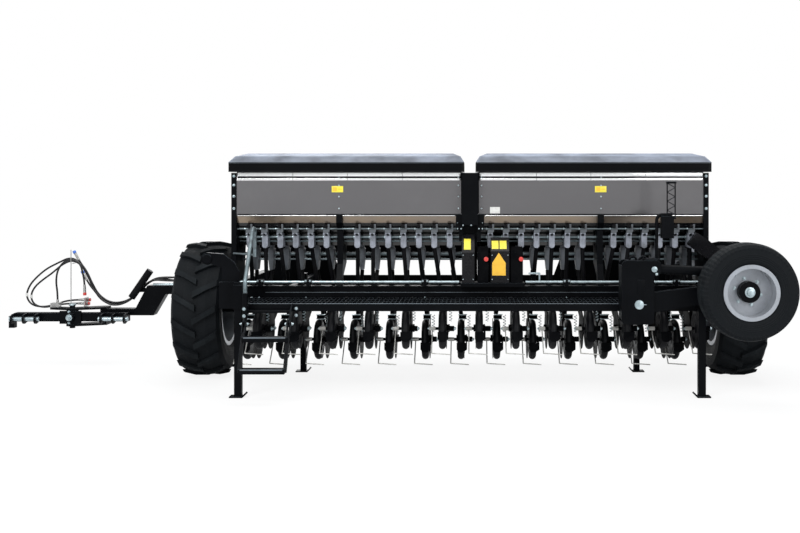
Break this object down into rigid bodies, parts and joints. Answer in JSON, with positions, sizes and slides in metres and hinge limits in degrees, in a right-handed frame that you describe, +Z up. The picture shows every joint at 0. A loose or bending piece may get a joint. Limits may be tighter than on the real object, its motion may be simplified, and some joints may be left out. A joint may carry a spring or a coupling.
{
  "type": "trailed box seed drill",
  "caption": "Parked trailed seed drill with twin hoppers, rows of disc openers with press wheels, large lug tyres, an end-on drawbar and raised transport wheels.",
  "frame": {"origin": "middle of the whole machine on the ground", "axes": "+X to the right-hand side seen from behind, +Y the way it works, +Z up"},
  "size_m": [6.7986, 2.72, 1.937],
  "materials": {
    "frame_black": "satin near-black coat, dusty",
    "zinc": "pale blue zinc plate",
    "panel_grey": "semi-gloss grey sheet",
    "lid_dark": "high-gloss dark moulding",
    "unit_metal": "galvanised, dusty",
    "tube_black": "matt black plastic",
    "cover_black": "gloss black moulding",
    "cast_black": "black coated castings",
    "disc_steel": "worn disc steel with soil film",
    "press_rubber": "dusty black rubber",
    "tine_zinc": "yellowish zinc wire",
    "tyre_rubber": "charcoal rubber, dusty lug faces",
    "rim_silver": "silver paint",
    "chrome_rod": "polished rod",
    "hose_black": "smooth black hydraulic hose",
    "coupler_steel": "plated quick coupler"
  },
  "bodies": {
    "frame": {"carrier_pins": "zinc", "couplers": "coupler_steel", "document_tube": "tube_black", "drawbar": "frame_black", "drive_covers": "cover_black", "footboard": "frame_black", "front_beam": "frame_black", "gearboxes": "cast_black", "handrail": "zinc", "harrow_tines": "tine_zinc", "hopper_left": "panel_grey", "hopper_posts": "frame_black", "hopper_right": "panel_grey", "hose_inner": "hose_black", "hose_loop": "hose_black", "hose_outer": "hose_black", "hose_short": "hose_black", "hose_stand": "zinc", "hose_top": "hose_black", "inner_beams": "frame_black", "lock_hook": "zinc", "metering_front": "unit_metal", "metering_rear": "unit_metal", "metering_shafts": "zinc", "opener_arms": "frame_black", "opener_beam": "frame_black", "opener_discs": "disc_steel", "press_carriers": "zinc", "press_wheels": "press_rubber", "rear_beam": "frame_black", "seed_boots": "cast_black", "seed_tubes": "tube_black", "setting_shaft": "zinc", "side_beams": "frame_black", "side_box": "cover_black", "tool_rack": "frame_black", "transport_carriers": "frame_black"},
    "wheel_left": {"field_tyre_left": "tyre_rubber", "field_rim_left": "rim_silver"},
    "wheel_right": {"field_tyre_right": "tyre_rubber", "field_rim_right": "rim_silver"},
    "lid_left": {"lid_left": "lid_dark"},
    "lid_right": {"lid_right": "lid_dark"},
    "ladder": {"ladder": "frame_black"},
    "arm_rear": {"transport_arm_rear": "frame_black"},
    "arm_front": {"transport_arm_front": "frame_black"},
    "barrel_rear": {"cylinder_barrel_rear": "frame_black"},
    "barrel_front": {"cylinder_barrel_front": "frame_black"},
    "rod_rear": {"cylinder_rod_rear": "chrome_rod"},
    "rod_front": {"cylinder_rod_front": "chrome_rod"},
    "road_wheel_rear": {"transport_tyre_rear": "tyre_rubber", "transport_rim_rear": "rim_silver"},
    "road_wheel_front": {"transport_tyre_front": "tyre_rubber", "transport_rim_front": "rim_silver"},
    "leg_rear_left": {"leg_rear_left": "zinc"},
    "leg_rear_right": {"leg_rear_right": "zinc"},
    "leg_front_left": {"leg_front_left": "zinc"},
    "leg_front_right": {"leg_front_right": "zinc"},
    "hitch": {"hitch_bar": "frame_black", "link_pins": "zinc"}
  },
  "joints": [
    {"name": "wheel_left_spin", "type": "hinge", "parent": "frame", "child": "wheel_left", "pos_m": [-1.38175, 0.042, 0.5875], "axis": [1, 0, 0], "continuous": true},
    {"name": "lid_left_hinge", "type": "hinge", "parent": "frame", "child": "lid_left", "pos_m": [-0.12275, 0.429, 1.773], "axis": [-1, 0, 0], "range_deg": [0, 80]},
    {"name": "wheel_right_spin", "type": "hinge", "parent": "frame", "child": "wheel_right", "pos_m": [3.19425, 0.042, 0.5875], "axis": [1, 0, 0], "continuous": true},
    {"name": "lid_right_hinge", "type": "hinge", "parent": "frame", "child": "lid_right", "pos_m": [1.93525, 0.429, 1.773], "axis": [-1, 0, 0], "range_deg": [0, 80]},
    {"name": "ladder_hinge", "type": "hinge", "parent": "frame", "child": "ladder", "pos_m": [-0.66775, -1.068, 0.585], "axis": [-1, 0, 0], "range_deg": [0, 120]},
    {"name": "arm_rear_pivot", "type": "hinge", "parent": "frame", "child": "arm_rear", "pos_m": [2.21025, -1.055, 0.738], "axis": [0, 1, 0], "range_deg": [0, 52]},
    {"name": "barrel_rear_pin", "type": "hinge", "parent": "frame", "child": "barrel_rear", "pos_m": [2.32725, -1.055, 1.011], "axis": [0, 1, 0], "range_deg": [0, 50.2]},
    {"name": "rod_rear_stroke", "type": "slide", "parent": "barrel_rear", "child": "rod_rear", "axis": [0.999, 0, -0.0438], "range_m": [0, 0.26]},
    {"name": "road_wheel_rear_spin", "type": "hinge", "parent": "arm_rear", "child": "road_wheel_rear", "pos_m": [3.01425, -1.228, 0.851], "axis": [0, 1, 0], "continuous": true},
    {"name": "arm_front_pivot", "type": "hinge", "parent": "frame", "child": "arm_front", "pos_m": [2.21025, 1.055, 0.738], "axis": [0, 1, 0], "range_deg": [0, 52]},
    {"name": "barrel_front_pin", "type": "hinge", "parent": "frame", "child": "barrel_front", "pos_m": [2.32725, 1.055, 1.011], "axis": [0, 1, 0], "range_deg": [0, 50.2]},
    {"name": "rod_front_stroke", "type": "slide", "parent": "barrel_front", "child": "rod_front", "axis": [0.999, 0, -0.0438], "range_m": [0, 0.26]},
    {"name": "road_wheel_front_spin", "type": "hinge", "parent": "arm_front", "child": "road_wheel_front", "pos_m": [3.01425, 1.228, 0.851], "axis": [0, 1, 0], "continuous": true},
    {"name": "leg_rear_left_slide", "type": "slide", "parent": "frame", "child": "leg_rear_left", "axis": [0, 0, 1], "range_m": [0, 0.3]},
    {"name": "leg_rear_right_slide", "type": "slide", "parent": "frame", "child": "leg_rear_right", "axis": [0, 0, 1], "range_m": [0, 0.3]},
    {"name": "leg_front_left_slide", "type": "slide", "parent": "frame", "child": "leg_front_left", "axis": [0, 0, 1], "range_m": [0, 0.15]},
    {"name": "leg_front_right_slide", "type": "slide", "parent": "frame", "child": "leg_front_right", "axis": [0, 0, 1], "range_m": [0, 0.15]},
    {"name": "hitch_pivot", "type": "hinge", "parent": "frame", "child": "hitch", "pos_m": [-2.81875, 0.642, 0.435], "axis": [0, 0, 1], "range_deg": [-130, 0]}
  ],
  "couplings": [
    {"joint": "barrel_rear_pin", "follows": "arm_rear_pivot", "ratio": 0.9635},
    {"joint": "rod_rear_stroke", "follows": "arm_rear_pivot", "m_per_rad": 0.2859},
    {"joint": "barrel_front_pin", "follows": "arm_front_pivot", "ratio": 0.9635},
    {"joint": "rod_front_stroke", "follows": "arm_front_pivot", "m_per_rad": 0.2859}
  ]
}
